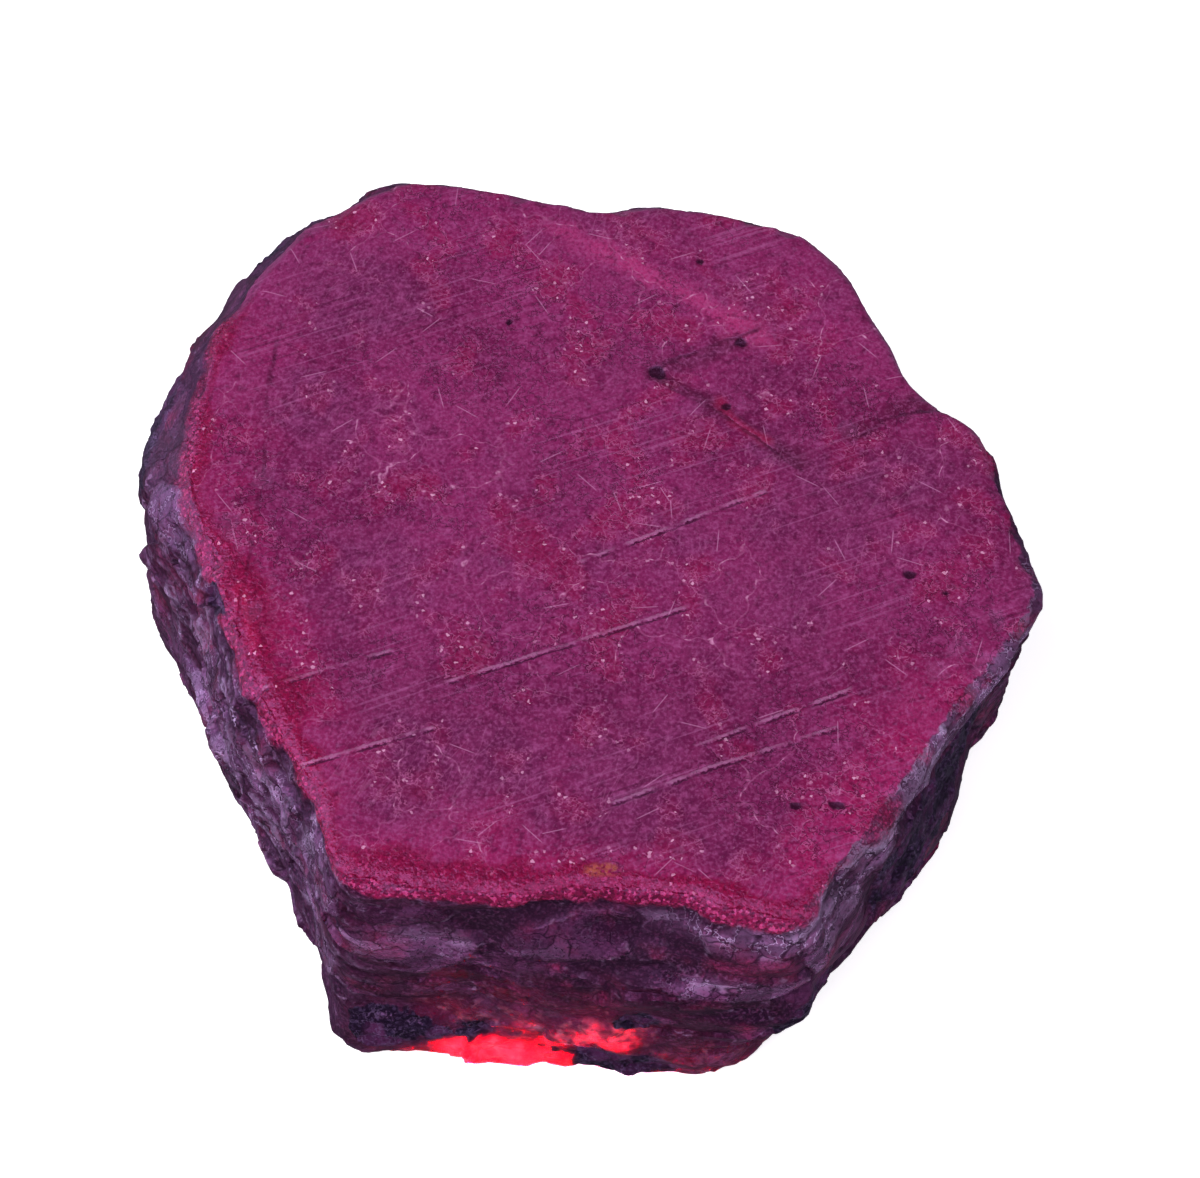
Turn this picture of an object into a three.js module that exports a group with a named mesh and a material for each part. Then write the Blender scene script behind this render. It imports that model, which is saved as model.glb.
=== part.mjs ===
// A raw ruby crystal: one short, six-sided prism of corundum.
//
// The top is ground flat across the prism. The six walls are natural: they lean, bulge and break into
// courses of thin plates, because ruby parts along planes parallel to its base. Nothing is joined on, so
// the crystal is one solid.
//
// Millimetres, +Z up. The origin is the middle of the crystal's bounding box, at the level of its base.
import * as THREE from "three";
import { ImprovedNoise } from "three/addons/math/ImprovedNoise.js";

const { lerp, smoothstep } = THREE.MathUtils;

// ---------------------------------------------------------------- driving dimensions
const HEIGHT = 15;
const BELLY_LEVEL = 0.5; // where "belly" below is measured, as a share of the height
const SHOULDER_LEVEL = 0.8;

// Mesh fineness: columns of vertices round the wall.
const COLUMNS = 216;

// The walls' courses of plates: the height of each parting between two courses, from the base up.
const PARTINGS = [1.5, 3.6, 5.2, 7.9, 9.6, 12.1];
const PARTING_WAVE = 0.35; // how far a parting wanders up and down
const PARTING_WAVELENGTH = 7;
const LEDGE_RISE = 0.3; // height over which the wall steps from one course to the next
const COURSE_DEPTH = 0.35; // how far whole courses stand in or out
const COURSE_WAVELENGTH = 11;

// The plates within a course.
const PLATE_COLUMNS = { least: 5, most: 13 };
const PLATE_DEPTH = 0.32; // how far a plate stands in or out of its course
const PLATE_TILT = 0.2; // how far one end of a plate stands out past the other
const PLATE_SEED = 7;

// The worn edges.
const TOP_EDGE = { drop: 0.45, out: 0.22 }; // a narrow broken bevel under the ground face
const FOOT_EDGE = { rise: 0.6, inset: 0.55 }; // the chipped lower edge
const CHIP_DEPTH = 0.3;
const CHIP_WAVELENGTH = 2.2;

// The wall, counter-clockwise seen from above: the prism's six faces, and the four of its corners that lean
// their own way. "rim" is the edge of the ground top, [x, y]. "shoulder", "belly" and "foot" are how far the
// wall stands out from the rim towards the top, half way up and at the base.
const WALL = {
  frontLeftCorner: {
    rim: [[-12, -14.2], [-11.2, -17], [-10.1, -18.2]],
    shoulder: 0.4,
    belly: 0.9,
    foot: 1.6,
  },
  front: {
    rim: [[-5.7, -18.9], [-1, -19.6], [4.5, -20.2]],
    shoulder: 0.3,
    belly: 0.8,
    foot: 1.5,
  },
  frontRightCorner: {
    rim: [[9.2, -21.1], [10.2, -20.5]],
    shoulder: 0,
    belly: -0.1,
    foot: -0.8,
  },
  right: {
    rim: [[11.9, -17.7], [13.8, -14.4], [16.7, -10.4]],
    shoulder: 0.4,
    belly: 0.7,
    foot: -0.2,
  },
  rightCorner: {
    rim: [[19.4, -6.5], [21.1, -3.4], [20.7, -1.6]],
    shoulder: -0.3,
    belly: -0.9,
    foot: -1.8,
  },
  backRight: {
    rim: [[19.7, 1.6], [18.6, 5.1], [16.3, 7.2], [14, 12], [11.9, 15.5]],
    shoulder: 0.4,
    belly: 0.6,
    foot: 0.4,
  },
  back: {
    rim: [[9.8, 17.2], [7.2, 17.9], [3.8, 18.4], [0.3, 18.2], [-4.2, 19.3], [-7.9, 19.8]],
    shoulder: 1.9,
    belly: 1.6,
    foot: 1,
  },
  backLeft: {
    rim: [[-10, 19.2], [-11.9, 17.8], [-14.3, 15.9], [-16.5, 12.3], [-17.9, 9.2]],
    shoulder: 1.7,
    belly: 1.9,
    foot: 1.4,
  },
  leftCorner: {
    rim: [[-18.5, 5.2], [-18.5, 2.5]],
    shoulder: 2.1,
    belly: 2.8,
    foot: 2.6,
  },
  left: {
    rim: [[-17.1, -1.9], [-15.9, -6.2], [-14.1, -10.4]],
    shoulder: 0.8,
    belly: 1.3,
    foot: 1.4,
  },
};

// ---------------------------------------------------------------- helpers
const noise = new ImprovedNoise();

// Smooth noise from -1 to 1 at a point of the plan, so that it closes on itself round the wall. Each layer
// has a pattern of its own.
function planNoise(x, y, wavelength, layer) {
  return noise.noise(x / wavelength, y / wavelength, layer * 7.31);
}

// A small repeatable source of random numbers from 0 to 1.
function seededRandom(seed) {
  let state = seed;
  return () => {
    state = (state + 0x6d2b79f5) | 0;
    let mixed = Math.imul(state ^ (state >>> 15), 1 | state);
    mixed = (mixed + Math.imul(mixed ^ (mixed >>> 7), 61 | mixed)) ^ mixed;
    return ((mixed ^ (mixed >>> 14)) >>> 0) / 4294967296;
  };
}

// A closed smooth curve through points listed round the wall.
function roundTheWall(points) {
  return new THREE.CatmullRomCurve3(points, true, "centripetal");
}

// ---------------------------------------------------------------- the rim and the wall's overall shape
const stations = Object.values(WALL).flatMap((stretch) =>
  stretch.rim.map(([x, y]) => ({ ...stretch, x, y })),
);
const rimCurve = roundTheWall(stations.map(({ x, y }) => new THREE.Vector3(x, y, 0)));
const leanCurve = roundTheWall(
  stations.map(({ shoulder, belly, foot }) => new THREE.Vector3(shoulder, belly, foot)),
);

// How far the wall stands out at a level from 0, the base, to 1, the rim.
function standOut([shoulder, belly, foot], level) {
  if (level < BELLY_LEVEL) {
    return lerp(foot, belly, smoothstep(level, 0, BELLY_LEVEL));
  }
  if (level < SHOULDER_LEVEL) {
    return lerp(belly, shoulder, smoothstep(level, BELLY_LEVEL, SHOULDER_LEVEL));
  }
  return lerp(shoulder, 0, smoothstep(level, SHOULDER_LEVEL, 1));
}

// ---------------------------------------------------------------- the courses of plates
// For one course, how far each column of vertices stands in or out because of the plate that it is on.
function plateRelief(random) {
  const relief = new Float32Array(COLUMNS);
  const first = Math.floor(random() * COLUMNS);
  const spread = PLATE_COLUMNS.most - PLATE_COLUMNS.least;
  let column = 0;
  while (column < COLUMNS) {
    const width = Math.min(PLATE_COLUMNS.least + Math.floor(random() * spread), COLUMNS - column);
    const depth = (2 * random() - 1) * PLATE_DEPTH;
    const tilt = (2 * random() - 1) * PLATE_TILT;
    for (let i = 0; i < width; i++) {
      relief[(first + column + i) % COLUMNS] = depth + tilt * (i / width - 0.5);
    }
    column += width;
  }
  return relief;
}

// The rings of vertices, from the base up: the base's own, then two for each course, at its foot and its
// head, then the rim. "wave" names the parting that a ring follows up and down.
function ringPlan() {
  const heads = [...PARTINGS, HEIGHT - TOP_EDGE.drop];
  const topCourse = heads.length - 1;
  const rings = [{ course: 0, z: 0, inset: FOOT_EDGE.inset }];
  for (let course = 0; course <= topCourse; course++) {
    const foot = { z: heads[course - 1] + LEDGE_RISE / 2, wave: course - 1 };
    const head = { z: heads[course] - LEDGE_RISE / 2, wave: course };
    rings.push({ course, ...(course > 0 ? foot : { z: FOOT_EDGE.rise }) });
    rings.push({ course, ...(course < topCourse ? head : { z: heads[topCourse] }) });
  }
  rings.push({ course: topCourse, z: HEIGHT, rim: true });
  return rings;
}

// ---------------------------------------------------------------- the crystal
// The vertex of one ring in one column.
function wallPoint(ring, column, reliefs) {
  const along = rimCurve.getUtoTmapping(column / COLUMNS);
  const rim = rimCurve.getPoint(along);
  const outward = rim.clone().normalize();
  const chip = CHIP_DEPTH * planNoise(rim.x, rim.y, CHIP_WAVELENGTH, ring.rim ? 1 : 2);
  if (ring.rim) {
    return rim.addScaledVector(outward, chip).setZ(HEIGHT);
  }
  const wave = ring.wave === undefined ? 0 : planNoise(rim.x, rim.y, PARTING_WAVELENGTH, 10 + ring.wave);
  const z = ring.z + PARTING_WAVE * wave;
  const course = COURSE_DEPTH * planNoise(rim.x, rim.y, COURSE_WAVELENGTH, 20 + ring.course);
  const lean = standOut(leanCurve.getPoint(along).toArray(), z / HEIGHT);
  const out = lean + course + reliefs[ring.course][column] + TOP_EDGE.out - (ring.inset ?? 0) + chip;
  return rim.addScaledVector(outward, out).setZ(z);
}

// A cylinder whose rings are moved out to the crystal's wall, and whose caps become its two flat faces.
function crystalGeometry() {
  const random = seededRandom(PLATE_SEED);
  const reliefs = [...PARTINGS, HEIGHT].map(() => plateRelief(random));
  const rings = ringPlan();
  const steps = rings.length - 1;
  const geometry = new THREE.CylinderGeometry(1, 1, steps, COLUMNS, steps);
  geometry.rotateX(Math.PI / 2);
  const position = geometry.getAttribute("position");
  const vertex = new THREE.Vector3();
  for (let i = 0; i < position.count; i++) {
    vertex.fromBufferAttribute(position, i);
    const ring = rings[Math.round(vertex.z + steps / 2)];
    const turn = Math.atan2(vertex.y, vertex.x) / (2 * Math.PI);
    const column = (Math.round(turn * COLUMNS) + COLUMNS) % COLUMNS;
    const onAxis = Math.hypot(vertex.x, vertex.y) < 0.5;
    const moved = onAxis ? new THREE.Vector3(0, 0, ring.z) : wallPoint(ring, column, reliefs);
    position.setXYZ(i, moved.x, moved.y, moved.z);
  }
  geometry.computeBoundingBox();
  const middle = geometry.boundingBox.getCenter(new THREE.Vector3());
  geometry.translate(-middle.x, -middle.y, 0);
  geometry.computeVertexNormals();
  return geometry;
}

const ruby = new THREE.MeshStandardMaterial({ color: 0x7f2d5a, roughness: 0.45, metalness: 0 });
const crystal = new THREE.Mesh(crystalGeometry(), ruby);
crystal.name = "ruby_crystal";

const group = new THREE.Group();
group.add(crystal);
export default group;
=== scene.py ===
# %% [markdown]
# # A raw ruby crystal
#
# The object is one natural stone: a short six-sided prism of opaque ruby, ground flat on top, with
# walls that broke into thin overlapping plates and hold patches of black mica.
#
# The imported solid gives its place and its size. This script keeps that shape, carves the fine relief
# into a denser copy of it, and gives the copy the colour and gloss of corundum, and a glow that is partly
# a lamp's light and partly painted into the colour.

import math

import bmesh
import bpy
import numpy as np
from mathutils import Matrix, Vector, noise


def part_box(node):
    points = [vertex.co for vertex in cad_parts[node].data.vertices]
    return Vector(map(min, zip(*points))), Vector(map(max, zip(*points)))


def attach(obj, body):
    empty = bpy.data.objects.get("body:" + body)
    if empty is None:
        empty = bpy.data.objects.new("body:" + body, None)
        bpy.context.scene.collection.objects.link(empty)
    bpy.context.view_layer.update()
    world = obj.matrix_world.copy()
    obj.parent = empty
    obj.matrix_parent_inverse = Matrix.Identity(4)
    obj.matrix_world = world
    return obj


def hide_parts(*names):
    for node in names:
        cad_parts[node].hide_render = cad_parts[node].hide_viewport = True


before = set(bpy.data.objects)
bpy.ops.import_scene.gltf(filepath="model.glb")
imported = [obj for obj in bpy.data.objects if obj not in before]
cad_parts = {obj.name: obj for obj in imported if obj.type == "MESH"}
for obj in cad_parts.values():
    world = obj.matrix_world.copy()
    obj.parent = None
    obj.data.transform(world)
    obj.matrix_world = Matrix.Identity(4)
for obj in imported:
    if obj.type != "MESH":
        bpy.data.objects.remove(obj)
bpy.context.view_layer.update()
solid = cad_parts["ruby_crystal"]
print("the packed solid has", len(solid.data.polygons), "triangles")

# %% Units and colours
MM = 0.001  # the frame is in metres, and every size below is in millimetres


def linear(hex_colour):
    """The linear RGBA that Blender wants, from an sRGB hex colour."""
    channels = [int(hex_colour[i : i + 2], 16) / 255 for i in (1, 3, 5)]
    curve = [c / 12.92 if c <= 0.04045 else ((c + 0.055) / 1.055) ** 2.4 for c in channels]
    return (*curve, 1.0)


low, high = (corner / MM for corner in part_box("ruby_crystal"))
HEIGHT = high.z
print(f"crystal {high.x - low.x:.1f} x {high.y - low.y:.1f} x {HEIGHT:.1f} mm")

# %% [markdown]
# ## Nodes
#
# One small function adds a node with its settings and links. A size in millimetres becomes a texture
# scale through one more, because the materials read the piece's own coordinates, which are in metres.


# %% Node helper
def add(tree, kind, links=None, out=0, **settings):
    """Adds a shader node, sets it, links or sets its inputs, and returns one of its outputs."""
    made = tree.nodes.new("ShaderNode" + kind)
    for name, value in settings.items():
        setattr(made, name, value)
    for socket, value in (links or {}).items():
        if isinstance(value, bpy.types.NodeSocket):
            tree.links.new(value, made.inputs[socket])
        else:
            made.inputs[socket].default_value = value
    return made.outputs[out]


def every(size):
    """The texture scale whose pattern repeats about once in a size in millimetres."""
    return 1 / (size * MM)


def new_material(name):
    """A node material with nothing in it but its shader and its output."""
    material = bpy.data.materials.new(name)
    material.use_nodes = True
    return material, material.node_tree, material.node_tree.nodes["Principled BSDF"]


# %% [markdown]
# ## The view
#
# The stone is seen from in front and well above, so that the ground top and two of its walls show. A
# long lens from a hand's length away keeps the prism's sides nearly parallel.

# %% Camera
CAMERA_ELEVATION = math.radians(60)
CAMERA_DISTANCE = 170
AIM = Vector((0.9, -3.5, HEIGHT))  # on the top, a little in front of its middle

camera = bpy.data.objects.new("camera", bpy.data.cameras.new("camera"))
bpy.context.scene.collection.objects.link(camera)
away = Vector((0, -math.cos(CAMERA_ELEVATION), math.sin(CAMERA_ELEVATION)))
camera.location = (AIM + CAMERA_DISTANCE * away) * MM
camera.rotation_euler = (math.radians(90) - CAMERA_ELEVATION, 0, 0)
camera.data.lens = 110
camera.data.clip_start = 0.01
bpy.context.scene.camera = camera
print("camera at", [round(c, 3) for c in camera.location])

# %% [markdown]
# ## Light and floor
#
# A glossy dark stone shows what it mirrors, so the light is a pale lavender surround with three large
# soft boxes. The floor is white paper, faintly lit from within as on a light table, so that the stone's
# shadow stays soft. The stone doesn't mirror the paper, which would wash out its walls.
#
# A small lamp shines up into the base near the front wall, as a torch does when a dealer tests how much
# light a ruby lets through. The floor lets its light pass.

# %% Surround
world = bpy.data.worlds.new("studio")
world.use_nodes = True
bpy.context.scene.world = world
bpy.context.scene.view_settings.view_transform = "Standard"

SURROUND = {"above and below": 0.15, "level": 0.42}  # how bright it is
sky = world.node_tree
rise = add(sky, "SeparateXYZ", {0: add(sky, "TexCoord", out="Generated")}, out="Z")
brightness = add(
    sky,
    "MapRange",
    {
        "Value": add(sky, "Math", {0: rise}, operation="ABSOLUTE"),
        "From Min": 0.1,
        "From Max": 0.75,
        "To Min": SURROUND["level"],
        "To Max": SURROUND["above and below"],
    },
    interpolation_type="SMOOTHSTEP",
)
sky.links.new(brightness, sky.nodes["Background"].inputs["Strength"])
sky.nodes["Background"].inputs["Color"].default_value = linear("#cfc4ee")


# %% Soft boxes
def soft_box(name, azimuth, elevation, distance, size, watts, colour="#ffffff"):
    """A square soft box that faces the stone. Angles in degrees, lengths in millimetres."""
    lamp = bpy.data.lights.new(name, "AREA")
    lamp.size = size * MM
    lamp.energy = watts
    lamp.color = linear(colour)[:3]
    box = bpy.data.objects.new(name, lamp)
    bpy.context.scene.collection.objects.link(box)
    turn, rise = math.radians(azimuth), math.radians(elevation)
    direction = Vector((math.cos(turn) * math.cos(rise), math.sin(turn) * math.cos(rise), math.sin(rise)))
    box.location = direction * distance * MM
    box.rotation_euler = direction.to_track_quat("Z", "Y").to_euler()


soft_box("key", azimuth=205, elevation=52, distance=420, size=400, watts=2.2)
soft_box("side", azimuth=165, elevation=14, distance=420, size=400, watts=0.9, colour="#e4dcff")
soft_box("front", azimuth=-50, elevation=55, distance=420, size=400, watts=1.2)

# %% Torch under the base
TORCH_IN = 6  # how far in from the front of the stone
TORCH_BELOW = 8  # how far under its base

torch = bpy.data.objects.new("torch", bpy.data.lights.new("torch", "SPOT"))
bpy.context.scene.collection.objects.link(torch)
torch.data.energy = 3
torch.data.spot_size = math.radians(90)
torch.data.spot_blend = 0.8
torch.data.shadow_soft_size = 1.5 * MM
torch.location = Vector((-1, low.y + TORCH_IN, -TORCH_BELOW)) * MM
torch.rotation_euler = (math.radians(180), 0, 0)

# %% Floor
FLOOR_HALF = 1.5  # metres

floor_bm = bmesh.new()
bmesh.ops.create_grid(floor_bm, x_segments=1, y_segments=1, size=FLOOR_HALF)
floor = bpy.data.objects.new("floor", bpy.data.meshes.new("floor"))
floor_bm.to_mesh(floor.data)
floor_bm.free()
bpy.context.scene.collection.objects.link(floor)
floor.visible_glossy = False
floor.visible_shadow = False

# Matt white paper gives an even ground with no colour of its own.
paper, _, paper_shader = new_material("white paper, matt")
for socket, value in [
    ("Base Color", linear("#f3f1f2")),
    ("Roughness", 0.9),
    ("Emission Color", linear("#ffffff")),
    ("Emission Strength", 0.5),
]:
    paper_shader.inputs[socket].default_value = value
floor.data.materials.append(paper)

# %% [markdown]
# ## A denser copy of the stone
#
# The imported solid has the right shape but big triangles. The copy is merged, rebuilt on an even grid of
# small quads with Remesh, and smoothed a little on the walls, where the solid's plates are blocky. All
# the carving is done in millimetres, and the mesh goes back to metres at the end.

# %% Copy and remesh
GRID = 0.213  # side of a remeshed quad

stone = bpy.data.objects.new("ruby", solid.data.copy())
bpy.context.scene.collection.objects.link(stone)
stone.data.materials.clear()


def apply_modifiers(piece):
    """Turns what a piece's modifiers make into its own mesh."""
    made = bpy.data.meshes.new_from_object(piece.evaluated_get(bpy.context.evaluated_depsgraph_get()))
    piece.modifiers.clear()
    piece.data = made


bm = bmesh.new()
bm.from_mesh(stone.data)
bmesh.ops.remove_doubles(bm, verts=bm.verts, dist=0.0001 * MM)
bmesh.ops.scale(bm, vec=Vector((1, 1, 1)) / MM, verts=bm.verts)
bm.to_mesh(stone.data)
bm.free()
remesh = stone.modifiers.new("even grid", "REMESH")
remesh.mode = "VOXEL"
remesh.voxel_size = GRID
apply_modifiers(stone)
print("remeshed to", len(stone.data.vertices), "points")


# %% Points of the stone
def points_of(mesh):
    """The mesh's points as an array of rows x, y, z."""
    flat = np.empty(len(mesh.vertices) * 3)
    mesh.vertices.foreach_get("co", flat)
    return flat.reshape(-1, 3)


def move_points(mesh, points):
    mesh.vertices.foreach_set("co", points.ravel())
    mesh.update()


def ease(value, start, end):
    """0 before start, 1 after end, and smooth between. It works on arrays too."""
    t = np.clip((value - start) / (end - start), 0, 1)
    return t * t * (3 - 2 * t)


def blobs(points, size, layer=0, octaves=2):
    """Soft noise from about -1 to 1, with blobs of the given size. Each layer is another pattern."""
    shift = Vector((31.7, 17.3, 5.9)) * layer
    scaled = np.asarray(points) / np.asarray(size)
    return np.array([noise.fractal(Vector(p) + shift, 1.0, 2.0, octaves) for p in scaled])


# %% Round off the solid's blocky plates
walls = stone.vertex_groups.new(name="walls")
levels = points_of(stone.data)[:, 2]
wall_points = np.flatnonzero((levels > 0.3) & (levels < HEIGHT - 0.5))
walls.add(wall_points.tolist(), 1.0, "REPLACE")
smooth = stone.modifiers.new("worn plates", "SMOOTH")
smooth.vertex_group = "walls"
smooth.factor = 0.5
smooth.iterations = 12
apply_modifiers(stone)
stone.vertex_groups.clear()

points = points_of(stone.data)
x, y, z = points.T
angle = np.arctan2(y, x)
radius = np.hypot(x, y)
print("walls smoothed:", len(wall_points), "points")

# %% [markdown]
# ## Where a point is
#
# Every mark on the stone needs to know where it is: how far in from the rim of the top, how far round
# the wall, how far up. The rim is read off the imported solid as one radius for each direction.

# %% Outlines of the top and the base
corners = points_of(solid.data) / MM
corner_radius = np.hypot(corners[:, 0], corners[:, 1])


def outline(level):
    """The solid's radius at a level, in the direction of every point."""
    ring = (np.abs(corners[:, 2] - level) < 0.01) & (corner_radius > 5)
    ring_angle = np.arctan2(corners[ring, 1], corners[ring, 0])
    return np.interp(angle, ring_angle, corner_radius[ring], period=2 * math.pi)


SKIN = 0.12  # points this near a flat face belong to it
on_top = z > HEIGHT - SKIN
on_base = z < SKIN
from_rim = np.maximum(outline(HEIGHT) - radius, 0)
inside_rim = np.where(on_top, from_rim, z - HEIGHT)  # below zero down the wall
from_wall = np.where(on_top, from_rim, np.where(on_base, np.maximum(outline(0) - radius, 0), 0))
print("top points", on_top.sum(), "base points", on_base.sum())

# %% Distance round the wall
WALL_RADIUS = 20.0  # the mean radius, which unrolls the wall into a strip
STRIP = 2 * math.pi * WALL_RADIUS
around = angle * WALL_RADIUS
near_wall = 1 - ease(from_wall, 0, 1.0)


def apart(a, b):
    """The shorter way round the wall from b to a."""
    return (a - b + STRIP / 2) % STRIP - STRIP / 2


# %% [markdown]
# ## Plates on the walls
#
# Ruby parts along planes parallel to its base, so a broken wall is a stack of thin lens-shaped plates
# that lap over each other, with dark hackly gaps between. Each plate here is an ellipse on the unrolled
# wall with its own stand-out, lean and crown, and the one that stands furthest out wins, as with roof
# shingles. The ellipses are laid on a coordinate that noise has bent, so that no outline is a clean
# curve.
#
# A few smooth plates that catch the eye have their own place. The others fall at random.

# %% Bent coordinates
bent_around = around + 1.1 * blobs(points, 3.5, layer=1) + 0.12 * blobs(points, 0.7, layer=2)
bent_up = z + 0.6 * blobs(points, (4.5, 4.5, 3), layer=3) + 0.06 * blobs(points, 0.6, layer=4)


# %% Lay the plates
def random_plates(count, half_length, half_height, stand, lean, seed):
    """Plates with their numbers in the order of SMOOTH_PLATES below."""
    random = np.random.default_rng(seed)
    plates = []
    for _ in range(count):
        place = [random.uniform(-180, 180), random.uniform(-0.3, HEIGHT)]
        size = [random.uniform(*half_length), random.uniform(*half_height)]
        set_in = [random.normal(0, 7), random.uniform(*stand), *random.normal(0, lean, 2)]
        plates.append(place + size + set_in + [random.uniform(0, 0.9)])
    return plates


def lay_plates(plates, crown, gap):
    """Relief, distance in from the plate's edge, and the tone of the plate, for every point."""
    relief = np.full(len(around), gap)
    margin = np.zeros(len(around))
    tones = np.zeros(len(around))
    for direction, level, length, height, turn, stand, lean_around, lean_up, tone in plates:
        across, up = apart(bent_around, math.radians(direction) * WALL_RADIUS), bent_up - level
        cosine, sine = math.cos(math.radians(turn)), math.sin(math.radians(turn))
        u = (across * cosine + up * sine) / length
        v = (up * cosine - across * sine) / height
        reach = np.sqrt(u * u + v * v)
        face = stand + lean_around * u + lean_up * v - crown * reach**2
        wins = (reach < 1) & (face > relief)
        relief[wins] = face[wins]
        margin[wins] = (1 - reach[wins]) * height
        tones[wins] = tone
    return relief, margin, tones


# direction in degrees, level, half length, half height, turn in degrees, stand-out, two leans, tone
# The tone of these plates is high, so they get the painted sheen below.
SMOOTH_PLATES = [
    (-112, 10.4, 2.9, 1.9, 4, 0.08, 0.02, -0.16, 1.3),
    (-113, 13.0, 2.0, 0.7, 0, 0.08, 0.02, -0.06, 0.9),
    (-91, 11.9, 3.2, 1.2, 24, 0.10, 0.02, -0.12, 1.2),
    (-72, 9.9, 2.8, 1.0, -2, 0.14, 0.00, -0.12, 1.45),
    (-98, 7.4, 2.8, 1.5, 10, 0.06, 0.02, -0.10, 0.7),
    (-60, 12.0, 1.9, 2.6, 0, 0.05, 0.05, -0.10, 1.5),
    (-45, 13.9, 3.4, 1.0, 0, 0.05, 0.00, -0.08, 1.6),
    (-27, 14.0, 3.0, 0.9, 0, 0.05, 0.00, -0.08, 1.7),
    (178, 13.7, 2.4, 1.2, 0, 0.10, 0.00, -0.14, 2.0),
    (-126, 12.4, 2.4, 1.6, 10, 0.08, 0.00, -0.12, 1.9),
    (-126, 7.0, 2.6, 2.2, 10, 0.08, 0.00, -0.12, 1.8),
    (-141, 11.0, 4.4, 1.3, 8, 0.05, 0.00, -0.10, 1.6),
    (-150, 5.5, 5.0, 1.2, 5, 0.05, 0.00, -0.10, 1.8),
    (-163, 9.5, 4.2, 1.3, 6, 0.06, 0.00, -0.10, 2.0),
    (-176, 4.5, 3.6, 1.6, 0, 0.06, 0.00, -0.10, 1.7),
]
big_plates = random_plates(120, (1.8, 5.0), (0.9, 2.6), stand=(-0.16, 0.10), lean=0.12, seed=5)
small_plates = random_plates(420, (0.5, 1.7), (0.25, 0.9), stand=(-0.03, 0.03), lean=0.02, seed=8)
big_relief, big_margin, big_tone = lay_plates(big_plates + SMOOTH_PLATES, crown=0.03, gap=-0.2)
small_relief, small_margin, _ = lay_plates(small_plates, crown=0.01, gap=-0.05)
on_plate = ease(big_margin, 0, 0.12)
smooth_here = ease(big_tone, 0.85, 0.95) * on_plate
cloudy = blobs(points, (2.2, 2.2, 0.8), layer=18)
# Plates of high tone get a painted lavender sheen, as if they mirrored the surround: silky from a tone of
# 0.6, pale from a tone of 1.
silk_sheen = ease(big_tone, 0.6, 1.0) * ease(big_margin, 0.0, 0.25) * (0.8 + 0.5 * cloudy)
patchy = 0.7 + 0.9 * blobs(points, (1.6, 1.6, 0.6), layer=25)
pale_sheen = ease(big_tone, 1.0, 2.0) * ease(big_margin, 0.0, 0.35) * patchy
hackle = blobs(points, (0.9, 0.9, 0.5), layer=5, octaves=3)
wall_relief = big_relief + small_relief * (1 - 0.7 * smooth_here)
wall_relief = wall_relief + (0.008 + 0.05 * (1 - on_plate)) * hackle
print("plates cover", round(float((big_margin > 0).mean()), 2))

# %% [markdown]
# ## Black mica
#
# Plates of black mica grew in the stone with the ruby. Where the wall broke through them they show as
# dark pockets, and on the right they make a bulging mass. Each pocket is an ellipse on the unrolled
# wall, at the place named below, and keeps the distance in from its own edge, so that the colour can
# end in a sharp line.

# %% Pockets on the walls
# direction in degrees, height, half length, half height, how far it stands out
POCKETS = [
    (-81.5, 5.9, 1.0, 1.30, -0.15),
    (-104.0, 3.2, 1.3, 0.75, -0.20),
    (-113.5, 2.8, 2.0, 1.20, -0.05),
    (-86.0, 1.6, 2.7, 1.25, -0.18),
    (-63.0, 5.5, 1.6, 2.40, 0.05),
    (-40.0, 9.0, 5.2, 3.60, 0.20),
    (-50.0, 8.2, 1.8, 1.50, -0.35),
    (-27.0, 11.0, 2.6, 2.00, 0.10),
    (-167.0, 14.0, 0.9, 0.80, -0.35),
    (160.0, 11.5, 3.4, 1.60, 0.05),
    (142.0, 10.0, 3.0, 2.40, 0.05),
    (128.0, 12.0, 2.0, 1.20, -0.20),
    (103.0, 9.0, 2.2, 1.10, -0.25),
    (84.0, 4.5, 3.2, 1.60, 0.10),
    (58.0, 10.5, 1.6, 0.80, -0.30),
    (33.0, 6.0, 2.8, 1.50, -0.20),
    (8.0, 3.5, 2.0, 1.10, -0.25),
]

# Hollows where a plate is gone and only shadow and deep red are left, placed in the same way. Their shadow
# is painted shade in the colour.
HOLLOWS = [
    (-101.6, 13.5, 1.4, 0.60, -0.25),
    (-94.5, 13.4, 1.6, 0.80, -0.25),
    (-80.0, 14.1, 2.0, 0.60, -0.22),
    (-76.5, 12.2, 1.6, 0.60, -0.22),
    (-71.5, 7.6, 2.2, 0.80, -0.20),
    (-85.0, 12.6, 1.8, 0.70, -0.25),
    (-80.0, 10.2, 1.4, 0.60, -0.20),
    (-99.5, 5.2, 0.6, 0.50, -0.20),
    (-104.0, 8.6, 1.6, 0.35, -0.18),
    (-64.0, 9.0, 1.3, 0.50, -0.20),
    (-141.0, 8.0, 1.5, 0.80, -0.35),
    (-134.0, 12.0, 1.2, 0.90, -0.30),
    (-152.0, 4.5, 2.0, 0.80, -0.25),
    (-150.0, 12.2, 1.4, 0.70, -0.30),
    (-160.0, 8.4, 1.6, 0.70, -0.30),
    (-122.0, 4.4, 1.2, 0.80, -0.25),
    (176.0, 8.0, 1.6, 0.70, -0.30),
    (-43.0, 13.0, 1.3, 0.90, -0.35),
    (-46.0, 8.8, 1.4, 1.60, -0.50),
    (-51.5, 7.4, 1.1, 1.40, -0.40),
    (-38.0, 10.5, 1.3, 1.10, -0.40),
    (-31.0, 8.4, 1.5, 1.20, -0.40),
]
OUTSIDE = -3.0  # the distance in from an edge, for a point far outside of it


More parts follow.
